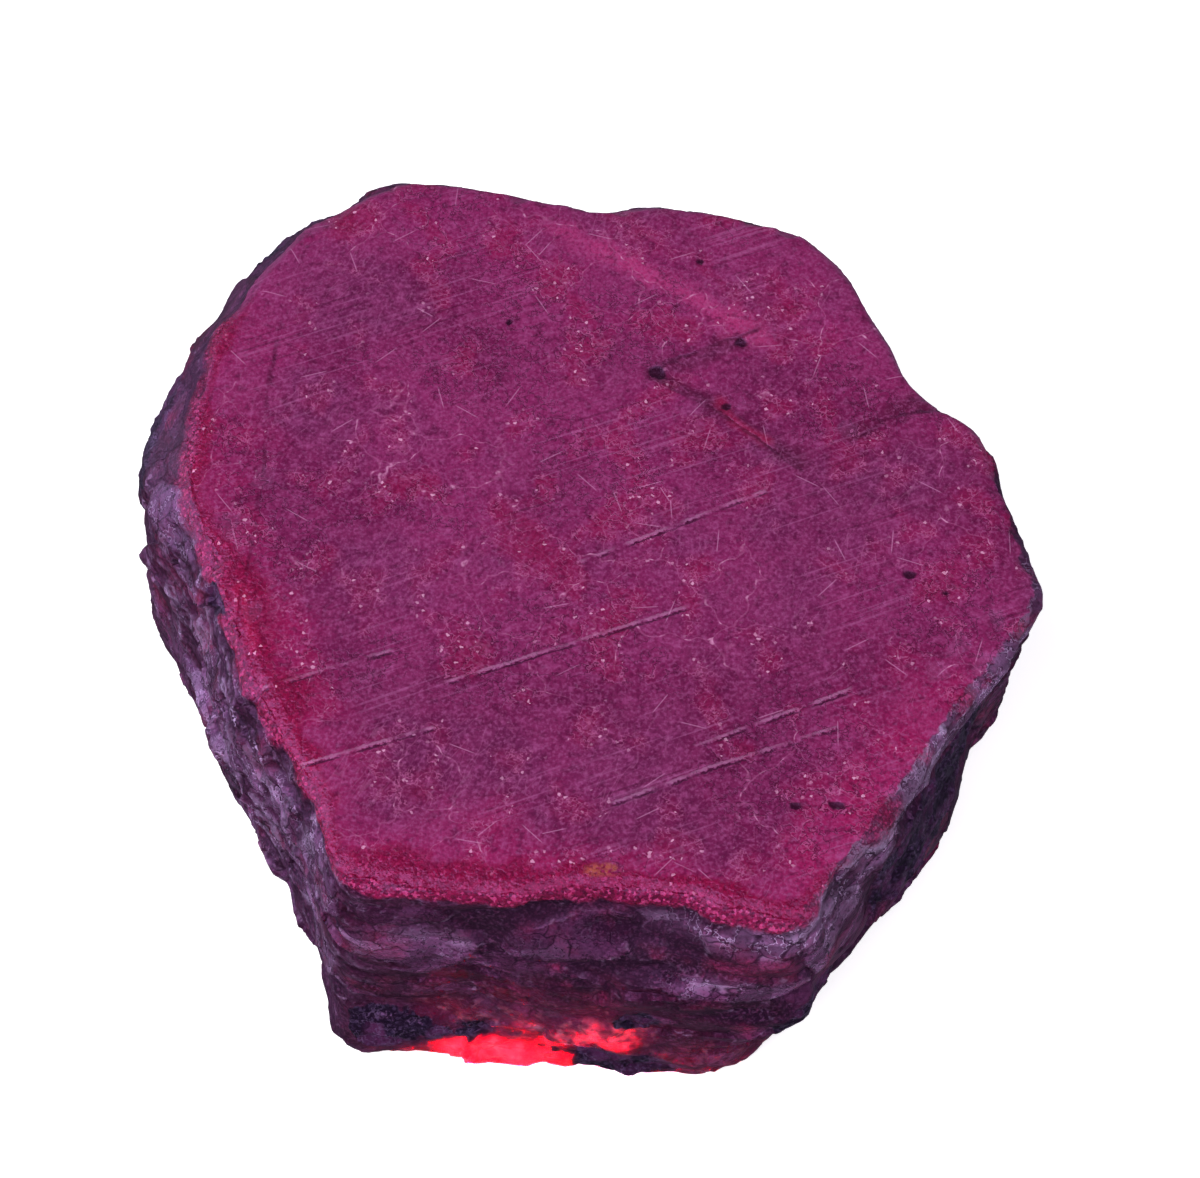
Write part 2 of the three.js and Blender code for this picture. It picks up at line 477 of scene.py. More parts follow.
def lay_patches(patches):
    """Distance in from the nearest patch's edge, and the push of every patch, for every point."""
    depth_in = np.full(len(around), OUTSIDE)
    stands = np.zeros(len(around))
    for direction, level, length, height, stand in patches:
        across = apart(bent_around, math.radians(direction) * WALL_RADIUS)
        depth = (1 - np.hypot(across / length, (bent_up - level) / height)) * min(length, height)
        depth[on_top] = OUTSIDE
        stands += stand * ease(depth, -0.15, 0.45)
        depth_in = np.maximum(depth_in, depth)
    return depth_in, stands


pocket_depth, pocket_stand = lay_patches(POCKETS)
frayed = 0.3 * blobs(points, (0.9, 0.9, 0.6), layer=26)
pocket_depth = pocket_depth + frayed * (pocket_depth > -1)
hollow_depth, hollow_stand = lay_patches(HOLLOWS)
pitted = ease(blobs(points, (1.8, 1.8, 0.9), layer=30, octaves=3), 0.25, 0.5) * (1 - 0.8 * smooth_here)
# Hollows and pitted spots are sunk and also painted dark: painted shade.
shaded_hollow = np.maximum(ease(hollow_depth, -0.1, 0.3), 0.8 * pitted)
wall_relief = wall_relief * (1 - 0.5 * shaded_hollow) + hollow_stand - 0.12 * pitted
in_pocket = ease(pocket_depth, -0.05, 0.2)
leaves = blobs(points, (0.9, 0.9, 0.25), layer=6, octaves=3)  # mica splits into thin level leaves
wall_relief = wall_relief * (1 - 0.6 * in_pocket) + pocket_stand + 0.2 * in_pocket * leaves
print("pockets:", len(POCKETS), "hollows:", len(HOLLOWS))

# %% [markdown]
# ## The rim
#
# Grinding the top bruised its edge: along the front, and less along the left and the right, the rim
# crumbled to a sugary band of crimson grains that slopes off to the wall.


# %% Bruised band
def towards(direction, width):
    """1 for points in a direction from the middle, in degrees, fading out over a width in degrees."""
    off = np.degrees(np.abs((angle - math.radians(direction) + math.pi) % (2 * math.pi) - math.pi))
    return 1 - ease(off, width * 0.6, width * 1.2)


# The wall on the left is crusted: a net of low ridges round small sunken cells. The ridges get a pale
# painted sheen, and the cells painted shade.
on_left = towards(-152, 34)
cells = np.abs(blobs(points, (2.0, 2.0, 1.4), layer=28, octaves=4))
ridge_net = on_left * (1 - ease(cells, 0.02, 0.2)) * (0.4 + 0.6 * ease(z, 2, 9))
cell = on_left * ease(cells, 0.22, 0.45) * (~on_top)
shaded_hollow = np.maximum(shaded_hollow, 0.75 * cell)
wall_relief = wall_relief - 0.15 * cell + 0.08 * ridge_net

# On the right the top of the wall gets a pale painted sheen.
right_rim_sheen = 1.3 * towards(-40, 38) * ease(z, HEIGHT - 2.6, HEIGHT - 1.6) * (0.8 + 0.6 * cloudy)
pale_sheen = np.maximum.reduce([pale_sheen, ridge_net, right_rim_sheen])

# direction in degrees, width in degrees and strength of the bruising, which is faint elsewhere
BRUISES = [(-92, 34, 1.0), (-150, 34, 0.85), (-45, 26, 0.2), (170, 30, 0.5)]
bruise = np.full(len(x), 0.12)
for direction, width, strength in BRUISES:
    bruise = np.maximum(bruise, strength * towards(direction, width))
band = 2.4 * bruise * (1 + 0.6 * blobs(points, 2.0, layer=7, octaves=3))
down_wall = HEIGHT - z + 0.3 * blobs(points, 0.8, layer=15)
spread = np.where(on_top, 1 - ease(inside_rim, 0.1 * band, 1.1 * band), 1 - ease(down_wall, 0.2, 1.0))
bruised = bruise * spread
grains = blobs(points, 0.42, layer=8, octaves=2)
worn = (0.05 + 0.11 * bruise) * (1 + 0.5 * blobs(points, 3, layer=16))  # how far the rim is worn down
rounding = worn * np.where(on_top, (1 - ease(inside_rim, 0, 1.3)) ** 2, ease(z, HEIGHT - 1.6, HEIGHT))
top_relief = -rounding + 0.03 * bruised * grains * on_top
wall_relief = wall_relief * (1 - 0.6 * ease(z, HEIGHT - 1.2, HEIGHT))
wall_relief = wall_relief + (0.05 * bruised * grains - 0.8 * worn) * ease(z, HEIGHT - 1.0, HEIGHT) ** 2
# A crimson glow painted along the rim of the top, as of light coming in at the thin edge: strongest where
# the rim is bruised and on the front right, fading over about 5 mm inward.
warm_reach = inside_rim * (1 + 0.5 * blobs(points, 3, layer=27, octaves=3))
painted_rim_glow = np.maximum(bruise, towards(-60, 40)) * (1 - ease(warm_reach, 0, 5.5)) * on_top
print("bruised points", int((bruised > 0.3).sum()))

# %% [markdown]
# ## Marks on the ground top
#
# The saw and the lap left long straight cuts, all one way. An older fracture makes a V, with a thin
# flake gone between its arms, a crack runs down the left side, and a few mica grains fell out and left
# pits.
#
# A cut is thinner than the mesh's triangles. So the mesh carries each point's signed distance from the
# nearest cut, which runs straight through a triangle, and the material draws the cut from it. A second
# number fades it out past the cut's ends.

# %% Distance from lines
FAR = 9.0  # further from a line than any mark reaches


def beside(lines):
    """Signed and plain distance from the nearest of several lines through [x, y] points."""
    nearest = np.full(len(x), FAR)
    sides = np.full(len(x), FAR)
    for line in lines:
        for (ax, ay), (bx, by) in zip(line, line[1:]):
            length = math.hypot(bx - ax, by - ay)
            along = np.clip(((x - ax) * (bx - ax) + (y - ay) * (by - ay)) / length**2, 0, 1)
            reach = np.hypot(x - ax - along * (bx - ax), y - ay - along * (by - ay))
            side = ((bx - ax) * (y - ay) - (by - ay) * (x - ax)) / length
            sides = np.where(reach < nearest, side, sides)
            nearest = np.minimum(nearest, reach)
    return sides, nearest


# %% Saw cuts and cracks
SAW_CUTS = [
    [(0.4, -1.9), (8.4, 1.7)],
    [(1.8, -14.5), (6.0, -12.8), (11.3, -10.9)],
    [(5.6, -11.6), (12.9, -8.6)],
    [(-12.6, -12.7), (-7.0, -10.9)],
    [(-6.5, -8.6), (5.5, -4.3)],
    [(-15.0, -8.9), (-9.0, -6.9)],
]
FRACTURE = [(8.6, 10.8), (5.7, 9.5), (3.5, 8.5), (5.2, 7.4), (6.6, 6.6), (8.6, 5.0), (10.4, 3.3)]
SIDE_CRACK = [(-14.3, 11.2), (-14.8, 7.5), (-14.7, 3.0), (-15.2, -1.9), (-15.9, -6.0)]
EDGE_CRACK = [(13.0, 5.0), (14.6, 6.2), (17.4, 6.9)]
VEIN = [(-1.1, 16.9), (0.9, 15.7), (3.3, 14.2), (5.8, 12.7), (7.4, 11.3), (8.8, 10.7)]
GLINTS = [[(6.7, 6.8), (7.4, 5.6), (8.9, 4.7)], [(-15.9, -3.5), (-15.0, -6.5)]]
AMBER = [[(0.7, -18.6), (1.4, -18.7)]]

wobble = 0.12 * blobs(points, 1.3, layer=9)
cut_side, from_cut = beside(SAW_CUTS)
crack_side, from_crack = beside([FRACTURE, SIDE_CRACK, EDGE_CRACK])
cut_side, crack_side = cut_side + 0.3 * wobble, crack_side + wobble
skips = ease(blobs(points, 1.1, layer=17), -0.3, 0.2)  # the saw skipped
cut_near = (1 - ease(from_cut, 0.32, 0.48)) * skips * on_top
crack_strength = np.where(x > 0, 0.5 + 0.5 * skips, 0.1 + 0.6 * skips)
crack_near = (1 - ease(from_crack, 0.3, 0.5)) * on_top * crack_strength
fracture_side = beside([FRACTURE])[0]
ragged = 0.5 * blobs(points, 1.5, layer=19)
amber = (1 - ease(beside(AMBER)[1] + ragged, 0.1, 0.6)) * on_top
stain = (1 - ease(from_crack + ragged, 0.0, 0.8)) * (x > 0) * on_top
vein = (1 - ease(beside([VEIN])[1] + ragged, 0.0, 1.1)) * on_top
glint = (1 - ease(beside(GLINTS)[1] + 0.5 * ragged, 0.0, 0.5)) * on_top
flaked = ease(fracture_side, 0.02, 0.2) * (1 - ease(fracture_side, 0.3, 3.2))
flaked = flaked * (x > 3.2) * (np.hypot(x - 7, y - 8) < 6) * on_top
crack_groove = crack_near * (1 - ease(np.abs(crack_side), 0.05, 0.3))
top_relief = top_relief - 0.12 * flaked - 0.05 * crack_groove

# %% Pits and flakes
# x, y and radius of each pit
PITS = [
    (15.2, -2.7, 0.28),
    (9.7, -14.7, 0.27),
    (11.6, -14.7, 0.27),
    (-3.5, 11.4, 0.22),
    (7.7, 10.3, 0.26),
    (3.6, 8.5, 0.34),
    (6.9, 6.6, 0.24),
    (16.9, -3.7, 0.18),
    (5.8, 15.0, 0.20),
]
pit_depth = np.full(len(x), OUTSIDE)
pit_bend = 1 + 0.7 * blobs(points, 0.5, layer=10)
for px, py, size in PITS:
    pit_depth = np.maximum(pit_depth, size - np.hypot((x - px) * 0.85, y - py) * pit_bend)
pit_depth = np.where(on_top, pit_depth, OUTSIDE)
top_relief = top_relief - 0.16 * ease(pit_depth, -0.06, 0.25)

# x, y, size and step down of each flake broken off the top, with straight sides as corundum chips have
FLAKES = [
    (17.6, -6.3, 1.2, 0.06),
    (19.2, -5.0, 1.0, 0.09),
    (18.6, -7.5, 1.0, 0.09),
    (16.4, -7.9, 0.8, 0.05),
    (-16.4, -0.2, 0.9, 0.06),
    (-15.2, -4.6, 0.8, 0.05),
    (-12.1, -15.5, 1.1, 0.10),
    (12.8, 5.3, 0.8, 0.05),
    (-15.0, 2.6, 0.8, 0.04),
]
random = np.random.default_rng(31)
flake_edge = np.full(len(x), OUTSIDE)
for fx, fy, size, step in FLAKES:
    depth = np.full(len(x), size)
    for turn in np.radians(np.arange(0, 360, 72) + random.uniform(-28, 28, 5)):
        across = (x - fx) * math.cos(turn) + (y - fy) * math.sin(turn)
        depth = np.minimum(depth, random.uniform(0.3, 0.9) * size - across)
    depth = np.where(on_top, depth + 0.05 * grains, OUTSIDE)
    top_relief = top_relief - step * ease(depth, 0, 0.12)
    flake_edge = np.maximum(flake_edge, depth)
print("saw cuts", len(SAW_CUTS), "pits", len(PITS), "flakes", len(FLAKES))

# %% [markdown]
# ## The underside
#
# The base is a natural parting face. It is level, with low steps and the odd missing flake, and its
# chipped edge lifts off the floor. Nothing goes below the floor, so the stone still rests where the
# packed one does.

# %% Steps under the base
terraces = np.round(2.2 * blobs(points, 7, layer=11)) * 0.07
base_relief = np.clip(terraces + 0.05 * blobs(points, 0.8, layer=12, octaves=3), 0, 0.3) * on_base

# %% Chips along the foot and the rim
foot_chips = ease(blobs(points, 1.6, layer=13), 0.15, 0.6) * (1 - ease(z, 0, 0.9))
rim_chips = ease(blobs(points, 1.3, layer=14), 0.2, 0.6) * ease(z, HEIGHT - 0.9, HEIGHT - 0.1)
near_rim = rim_chips * (1 - ease(inside_rim, 0.1, 0.6))

# %% Bulges and dents of the wall
# direction in degrees, height, half length, half height, and how far the wall stands out
BULGES = [
    (-119.0, 0.5, 2.2, 4.0, 0.45),
    (-110.0, 0.5, 4.0, 3.5, 0.45),
    (-125.5, 1.5, 2.4, 4.0, -0.50),
    (-147.0, 2.0, 4.5, 5.5, -0.70),
    (-59.0, 1.0, 6.5, 6.0, -0.90),
    (-70.5, 0.5, 3.0, 4.0, 0.40),
    (-81.0, 15.0, 8.0, 4.0, -1.10),
    (-64.0, 15.0, 5.0, 4.0, -0.55),
    (-29.0, 10.0, 6.0, 7.0, -0.60),
    (134.0, 9.0, 5.0, 7.0, 0.40),
    (-173.0, 5.0, 4.0, 6.0, 0.30),
]
bulge = np.zeros(len(around))
for direction, level, length, height, stand in BULGES:
    reach = np.hypot(apart(around, math.radians(direction) * WALL_RADIUS) / length, (z - level) / height)
    bulge += stand * (1 - ease(reach, 0.2, 1.0))
bulge = bulge * (1 - ease(from_wall, 0, 4.0))

# %% [markdown]
# ## Carve the relief
#
# The wall's relief pushes points straight out from the axis or in towards it. The top's and the base's
# push them down or up.

# %% Move the points
outward = np.column_stack([x, y]) / radius[:, None].clip(1)
push = (wall_relief - 0.3 * foot_chips - 0.15 * near_rim) * near_wall + bulge
carved = points.copy()
carved[:, :2] += outward * push[:, None]
carved[:, 2] += top_relief - 0.12 * near_rim + base_relief
carved[:, 2] = carved[:, 2].clip(0, HEIGHT)
move_points(stone.data, carved)

# %% [markdown]
# ## What each point keeps
#
# The material colours the stone from numbers that each point of the mesh keeps under a name: how far in it
# lies from an edge, how bruised it is, how much light comes through and how much glow is painted there.

# %% Marks of the relief
run_over = 0.8 * towards(80, 75)  # the ground face runs over the back edge
marks = {
    "inside_rim": inside_rim + run_over,
    "bruise": bruised,
    "cut_side": cut_side.clip(-1, 1),
    "cut_near": cut_near,
    "crack_side": crack_side.clip(-1, 1),
    "crack_near": crack_near,
    "mica_depth": pocket_depth.clip(-2, 2),
    "pit_depth": pit_depth.clip(-1, 1),
    "flake_edge": flake_edge.clip(-1, 1),
    "plate_margin": big_margin,
    "plate_tone": big_tone,
    "chip_margin": small_margin,
    "silk_sheen": silk_sheen.clip(0, 1),
    "pale_sheen": pale_sheen.clip(0, 1),
    "shaded_hollow": shaded_hollow,
    "vein": vein,
    "glint": glint,
    "stain": stain,
    "amber": amber,
    "painted_rim_glow": painted_rim_glow,
    # The top is darker towards the front: a painted shade.
    "shade": ease(-y, -4, 12) * (1 - painted_rim_glow) * on_top,
}

# %% Broad tones of the top
# x, y and radius of the redder and of the hazier places on the top
RED_PLACES = [(-12.9, 16.5, 2.5), (-16.0, 4.7, 2), (-7, 3, 3), (0.9, 11, 3), (14.7, -6.2, 3)]
RED_PLACES += [(1.9, 18.5, 2), (-2.5, -0.5, 4)]
HAZY_PLACES = [(-10.3, 12.7, 4), (-13, 6.9, 3), (-9.4, -1.9, 3)]
HAZY_PLACES += [(13.6, 2.4, 4), (2.7, -12.4, 4), (9, 4.5, 2)]


def placed(places):
    """1 in the middle of the nearest of several round places on the top, and 0 outside them."""
    near = [1 - ease(np.hypot(x - px, y - py), 0, size) for px, py, size in places]
    return np.max(near, axis=0) * on_top


# The broad tone wanders at random and rises towards the back; the rise is a painted sheen.
marks["broad"] = blobs(points, 8, layer=20, octaves=3) + 0.55 * ease(y, -12, 18) - 0.2
marks["middle"] = blobs(points, 2.2, layer=21, octaves=3) + 0.35 * placed(RED_PLACES)
marks["haze"] = 0.7 * blobs(points, 5.5, layer=22, octaves=3) + 0.5 * placed(HAZY_PLACES)
marks["zone"] = blobs(points, 7, layer=23)

# %% Clear places
# x, height, half length, half height and clearness of places in the front wall that light shines through
CLEAR = [
    (-5.4, 1.5, 2.0, 1.4, 0.9),
    (-2.8, 1.3, 2.6, 1.9, 1.0),
    (-0.4, 3.2, 1.6, 1.3, 0.9),
    (1.2, 4.3, 2.6, 2.1, 1.0),
    (0.3, 6.4, 1.8, 1.1, 0.5),
    (-5.8, 4.3, 2.4, 1.1, 0.55),
    (-2.2, 4.4, 2.6, 1.3, 0.6),
    (-2.0, 3.2, 8.5, 4.6, 0.22),
    (5.5, 3.2, 2.6, 1.4, 0.35),
    (7.0, 1.2, 2.8, 1.6, 0.35),
    (-7.6, 0.6, 2.0, 0.8, 0.4),
]
# In these places the colour also carries a painted glow, a bright core and brighter bits, over the torch's
# real light.
clear = np.zeros(len(x))
bend = 0.28 * blobs(points, 1.3, layer=24, octaves=3)
for cx, level, length, height, clearness in CLEAR:
    depth = 1 - np.hypot((x - cx) / length, (z - level) / height) + bend
    clear = np.maximum(clear, clearness * ease(depth, -0.45, 0.9))
clear = clear * (0.62 + 0.38 * ease(blobs(points, 0.9, layer=33, octaves=3), -0.35, 0.25))
marks["clear"] = clear * ((y < 0) & ~on_base)

for name, numbers in marks.items():
    kept = stone.data.attributes.new(name, "FLOAT", "POINT")
    kept.data.foreach_set("value", numbers.astype(np.float32))
print("numbers kept at each point:", len(marks))

# %% Thin the underside and go back to metres
TRIANGLES = 192000


def triangles_of(mesh):
    """How many triangles the mesh's faces make."""
    return sum(len(face.vertices) - 2 for face in mesh.polygons)


underside = stone.vertex_groups.new(name="underside")
underside.add(np.flatnonzero(on_base & (from_wall > 0.5)).tolist(), 1.0, "REPLACE")
thin = stone.modifiers.new("fewer triangles underneath", "DECIMATE")
thin.vertex_group = "underside"
before = triangles_of(stone.data)
thin.ratio = TRIANGLES / before
apply_modifiers(stone)
print("thinned from", before, "to", triangles_of(stone.data), "triangles")
stone.vertex_groups.clear()

bm = bmesh.new()
bm.from_mesh(stone.data)
bmesh.ops.scale(bm, vec=Vector((MM, MM, MM)), verts=bm.verts)
bmesh.ops.recalc_face_normals(bm, faces=bm.faces)
for face in bm.faces:
    face.smooth = True
open_edges = sum(1 for edge in bm.edges if not edge.is_manifold)
bm.to_mesh(stone.data)
bm.free()
stone.data.set_sharp_from_angle(angle=math.radians(48))
print("open edges:", open_edges)

# %% [markdown]
# ### Ruby
#
# Ruby is corundum, aluminium oxide coloured by a little chromium. Cut stones are clear, but this
# crystal is so full of cracks and mica that light only seeps a few millimetres into it. The eye sees a
# deep raspberry body that glows crimson at thin edges, under a surface that mirrors more than glass
# does. The crimson glow along the rim of the top is also painted into the colour.
#
# The ground top is matt, with a lilac haze of crushed stone. The broken walls are darker, and their
# plates are smooth enough to mirror the surround. Their lavender sheen is also painted into the colour.

# %% Start of the ruby material
ruby, tree, shader = new_material("ruby, opaque, ground on top and broken on the walls")
place = add(tree, "TexCoord", out="Object")

# %% What the mesh carries
values = {}
for name in marks:
    values[name] = add(tree, "Attribute", attribute_name=name, out="Fac")

# %% Grain too fine for the mesh to carry
for name, size, octaves in [("small", 0.6, 2), ("fine", 0.17, 1), ("sugar", 0.26, 1)]:
    settings = {"Vector": place, "Scale": every(size), "Detail": octaves, "Roughness": 0.6}
    values[name] = add(tree, "TexNoise", settings)

# Crazing: the line where a rough noise has its middle value wanders as a ragged crack does.
settings = {"Vector": place, "Scale": every(1.0), "Detail": 3, "Roughness": 0.65}
values["crazing"] = add(tree, "TexNoise", settings)

# %% [markdown]
# The lap's marks: long straight lines along the saw's way, and short hair scratches every way. Noise
# that is stretched along a direction gives lines that way, and a thin slice of its values gives a
# hairline. A net of healed cracks, as fine as a hair, crosses the middle of the top.

# %% Streaks
SAW_WAY = 21  # degrees from +X

# name, direction in degrees, length and width of a streak
for name, direction, length, width in [
    ("saw streaks", SAW_WAY, 9, 0.2),
    ("hairs one way", 64, 3.5, 0.7),
    ("hairs other way", -35, 4.5, 0.8),
]:
    turned = add(tree, "Mapping", {"Vector": place, "Rotation": (0, 0, -math.radians(direction))})
    stretch = (every(length), every(width), 1)
    stretched = add(tree, "VectorMath", {0: turned, 1: stretch}, operation="MULTIPLY")
    values[name] = add(tree, "TexNoise", {"Vector": stretched, "Scale": 1.0, "Detail": 1})

# %% Healed cracks
BEND = (1.2 * MM, 1.2 * MM, 1.2 * MM)  # so that no crack is straight

drift = add(tree, "TexNoise", {"Vector": place, "Scale": every(1.2), "Detail": 1}, out="Color")
shifted = add(tree, "VectorMath", {0: drift, 1: BEND, 2: place}, operation="MULTIPLY_ADD")
net = {"Vector": shifted, "Scale": every(3.2)}
values["crack net"] = add(tree, "TexVoronoi", net, feature="DISTANCE_TO_EDGE", out="Distance")

# %% [markdown]
# The walls broke into small flat chips with dark cracks between, and the bruised rim into sugary grains.
# Each chip and each grain has its own tone and its own tilt, as broken corundum has, so that a few flash.

# %% Chips and grains
MIDDLE = (0.5, 0.5, 0.5)  # of a random colour

chips = {0: shifted, 1: (every(2.3), every(2.3), every(1.1))}
chips = add(tree, "VectorMath", chips, operation="MULTIPLY")
for name, where, scale in [("chip", chips, 1.0), ("grain", place, every(0.13))]:
    cell = add(tree, "TexVoronoi", {"Vector": where, "Scale": scale}, out="Color")
    values[name + " luck"] = add(tree, "SeparateColor", {0: cell})
    reach = {0: where, 1: cell.node.outputs["Position"]}
    reach = add(tree, "VectorMath", reach, operation="SUBTRACT")
    lean = add(tree, "VectorMath", {0: cell, 1: MIDDLE}, operation="SUBTRACT")
    lean = {0: reach, 1: lean}
    values[name + " tilt"] = add(tree, "VectorMath", lean, operation="DOT_PRODUCT", out="Value")
tilt = {0: values["grain tilt"], 1: 1 / MM}
values["grain tilt"] = add(tree, "Math", tilt, operation="MULTIPLY")
net = {"Vector": chips, "Scale": 1.0}
values["wall crack"] = add(tree, "TexVoronoi", net, feature="DISTANCE_TO_EDGE", out="Distance")

# Parting leaves fine level lines on the walls.
layers = {0: place, 1: (every(2.5), every(2.5), every(0.3))}
layers = add(tree, "VectorMath", layers, operation="MULTIPLY")
values["laminae"] = add(tree, "TexNoise", {"Vector": layers, "Scale": 1.0, "Detail": 1, "Roughness": 0.6})

# %% Short scratches
# Loose grit scratched the top here and there: one short straight scratch in each cell, any way round.
way = add(tree, "TexVoronoi", {"Vector": place, "Scale": every(2.0)}, voronoi_dimensions="2D", out="Color")
values["scratch luck"] = add(tree, "SeparateColor", {0: way}, out="Blue")
reach = add(tree, "VectorMath", {0: place, 1: way.node.outputs["Position"]}, operation="SUBTRACT")
reach = add(tree, "VectorMath", {0: reach, 1: (1 / MM, 1 / MM, 0)}, operation="MULTIPLY")
way = add(tree, "VectorMath", {0: way, 1: MIDDLE}, operation="SUBTRACT")
way = add(tree, "VectorMath", {0: way, 1: (1, 1, 0)}, operation="MULTIPLY")
way = add(tree, "VectorMath", {0: way}, operation="NORMALIZE")
values["scratch side"] = add(tree, "VectorMath", {0: reach, 1: way}, operation="DOT_PRODUCT", out="Value")
values["scratch reach"] = add(tree, "VectorMath", {0: reach}, operation="LENGTH", out="Value")

# %% Ragged edges
# name, the noise and how much of it is added, and the distance that it makes ragged
for name, grain, share, distance in [
    ("inside", "small", 0.5, "inside_rim"),
    ("ragged cut", "fine", 0.2, "cut_side"),
    ("ragged crack", "small", 0.5, "crack_side"),
    ("ragged mica", "small", 0.7, "mica_depth"),
    ("ragged margin", "small", 0.14, "plate_margin"),
    ("ragged band", "middle", 0.3, "bruise"),
]:
    sum_of = {0: values[grain], 1: share, 2: values[distance]}
    values[name] = add(tree, "Math", sum_of, operation="MULTIPLY_ADD")

# %% Distances from a line
# name, value, and the level of it that the line follows
for name, value, level in [
    ("from cut", "ragged cut", 0),
    ("from lip", "ragged cut", 0.17),
    ("from crack", "ragged crack", 0),
    ("from scratch", "scratch side", 0),
    ("from craze", "crazing", 0.5),
    # A line just beside each crazed crack is drawn lighter: its painted highlight.
    ("from craze lip", "crazing", 0.53),
    ("from one hair", "hairs one way", 0.5),
    ("from other hair", "hairs other way", 0.5),
]:
    off_line = add(tree, "Math", {0: values[value], 1: level}, operation="SUBTRACT")
    values[name] = add(tree, "Math", {0: off_line}, operation="ABSOLUTE")

# %% Masks
# A mask is 0 where its value is at the first number, and 1 at the second.
masks = {}
for name, value, start, end in [
    ("ground", "inside", 0.25, 0.37),
    ("paler body and painted back sheen", "broad", -0.35, 0.35),
    ("crimson zone", "middle", 0.0, 0.5),
    ("haze", "haze", 0.0, 0.45),
    ("light grain", "fine", 0.5, 0.7),
    ("dark grain", "fine", 0.48, 0.3),
    ("light cloud", "small", 0.52, 0.72),
    ("dark lamina", "laminae", 0.48, 0.34),
    ("dark cloud", "small", 0.48, 0.3),
    ("saw zone", "zone", -0.1, 0.35),
    ("light streak", "saw streaks", 0.58, 0.7),
    ("dark streak", "saw streaks", 0.4, 0.28),
    ("hair one way", "from one hair", 0.012, 0.003),
    ("hair other way", "from other hair", 0.012, 0.003),
    ("hair zone", "haze", 0.05, 0.4),
    ("cut line", "from cut", 0.07, 0.03),
    ("lip line", "from lip", 0.1, 0.04),
    ("crack line", "from crack", 0.2, 0.02),
    ("net line", "crack net", 0.014, 0.004),
    ("net zone", "zone", 0.0, -0.3),
    ("wall split", "wall crack", 0.04, 0.005),
    ("split zone", "middle", -0.35, 0.3),
    ("light chip", "chip luck", 0.55, 0.9),
    ("dark chip", "chip luck", 0.45, 0.1),
    ("scratch line", "from scratch", 0.035, 0.015),
    ("scratch end", "scratch reach", 0.75, 0.4),
    ("scratched", "scratch luck", 0.72, 0.78),
    ("craze line", "from craze", 0.018, 0.006),
    ("craze light", "from craze lip", 0.018, 0.004),
    ("craze zone", "haze", 0.1, -0.25),
    ("painted glow core", "clear", 0.45, 0.95),
    ("edge light", "wall crack", 0.05, 0.015),
    ("edge zone", "middle", 0.15, -0.35),
    ("dusty patch", "middle", 0.0, -0.45),
    ("dark plate", "plate_tone", 0.32, 0.2),
    ("purple mica", "middle", -0.1, 0.15),
    ("cluster", "middle", -0.1, 0.35),
    ("lucky", "grain luck", 0.985, 0.995),
    ("bright facet", "grain luck", 0.7, 0.95),
    ("dark facet", "grain luck", 0.35, 0.1),
    ("pit", "pit_depth", -0.06, 0.08),
    ("flake face, painted sheen", "flake_edge", -0.02, 0.05),
    ("bruised", "ragged band", 0.05, 0.6),
    ("sugar grain", "sugar", 0.36, 0.6),
    ("plate", "ragged margin", 0.09, 0.2),
    ("smooth plate with painted sheen", "silk_sheen", 0.05, 0.9),
    ("chip edge", "chip_margin", 0.07, 0.01),
    # A band just inside each plate's edge gets a painted highlight.
    ("lip near", "ragged margin", 0.08, 0.14),
    ("lip far", "ragged margin", 0.26, 0.16),
    ("mica", "ragged mica", 0.35, 0.47),
]:
    limits = {"Value": values[value], "From Min": start, "From Max": end}
    masks[name] = add(tree, "MapRange", limits, interpolation_type="SMOOTHSTEP")
for name in ["clear", "shade", "vein", "glint", "pale_sheen", "stain", "painted_rim_glow", "amber", "shaded_hollow"]:
    masks[name] = values[name]

# %% Masks that two others make
for name, first, second in [
    ("light line", "light streak", "saw zone"),
    ("dark line", "dark streak", "saw zone"),
    ("hair a", "hair one way", "hair zone"),
    ("hair b", "hair other way", "crimson zone"),
    ("short line", "scratch line", "scratch end"),
    ("scratch", "short line", "scratched"),
    ("craze", "craze line", "craze zone"),
    ("craze lit", "craze light", "cluster"),
    ("painted craze highlight on pale plates", "craze light", "pale_sheen"),
    ("painted sheen on light chips", "pale_sheen", "light chip"),
    ("broken split", "wall split", "split zone"),
    ("light edge", "edge light", "edge zone"),
    ("painted split highlight", "light edge", "light cloud"),
    ("clear split", "wall split", "clear"),
    ("net", "net line", "net zone"),
    ("painted sparkle", "cluster", "lucky"),
    ("bright sugar", "bright facet", "bruised"),
    ("dark sugar", "dark facet", "bruised"),
    ("net bits", "net", "light cloud"),
    ("lip", "lip near", "lip far"),
    ("painted lip highlight", "lip", "light cloud"),
    ("painted glow, bright bits", "clear", "light cloud"),
    ("amber bits", "amber", "sugar grain"),
    ("clear dark", "clear", "dark cloud"),
    ("sugar bump", "sugar grain", "bruised"),
]:
    masks[name] = add(tree, "Math", {0: masks[first], 1: masks[second]}, operation="MULTIPLY")
for name, first, second in [
    ("cut", "cut line", "cut_near"),
    ("cut lip and its painted highlight", "lip line", "cut_near"),
    ("crack", "crack line", "crack_near"),
]:
    masks[name] = add(tree, "Math", {0: masks[first], 1: values[second]}, operation="MULTIPLY")
print("masks:", len(masks))

# %% [markdown]
# ### Colour
#
# Each surface starts from one colour, and then thin washes of others go over it, each through a mask
# and at a strength, as a painter would glaze it.

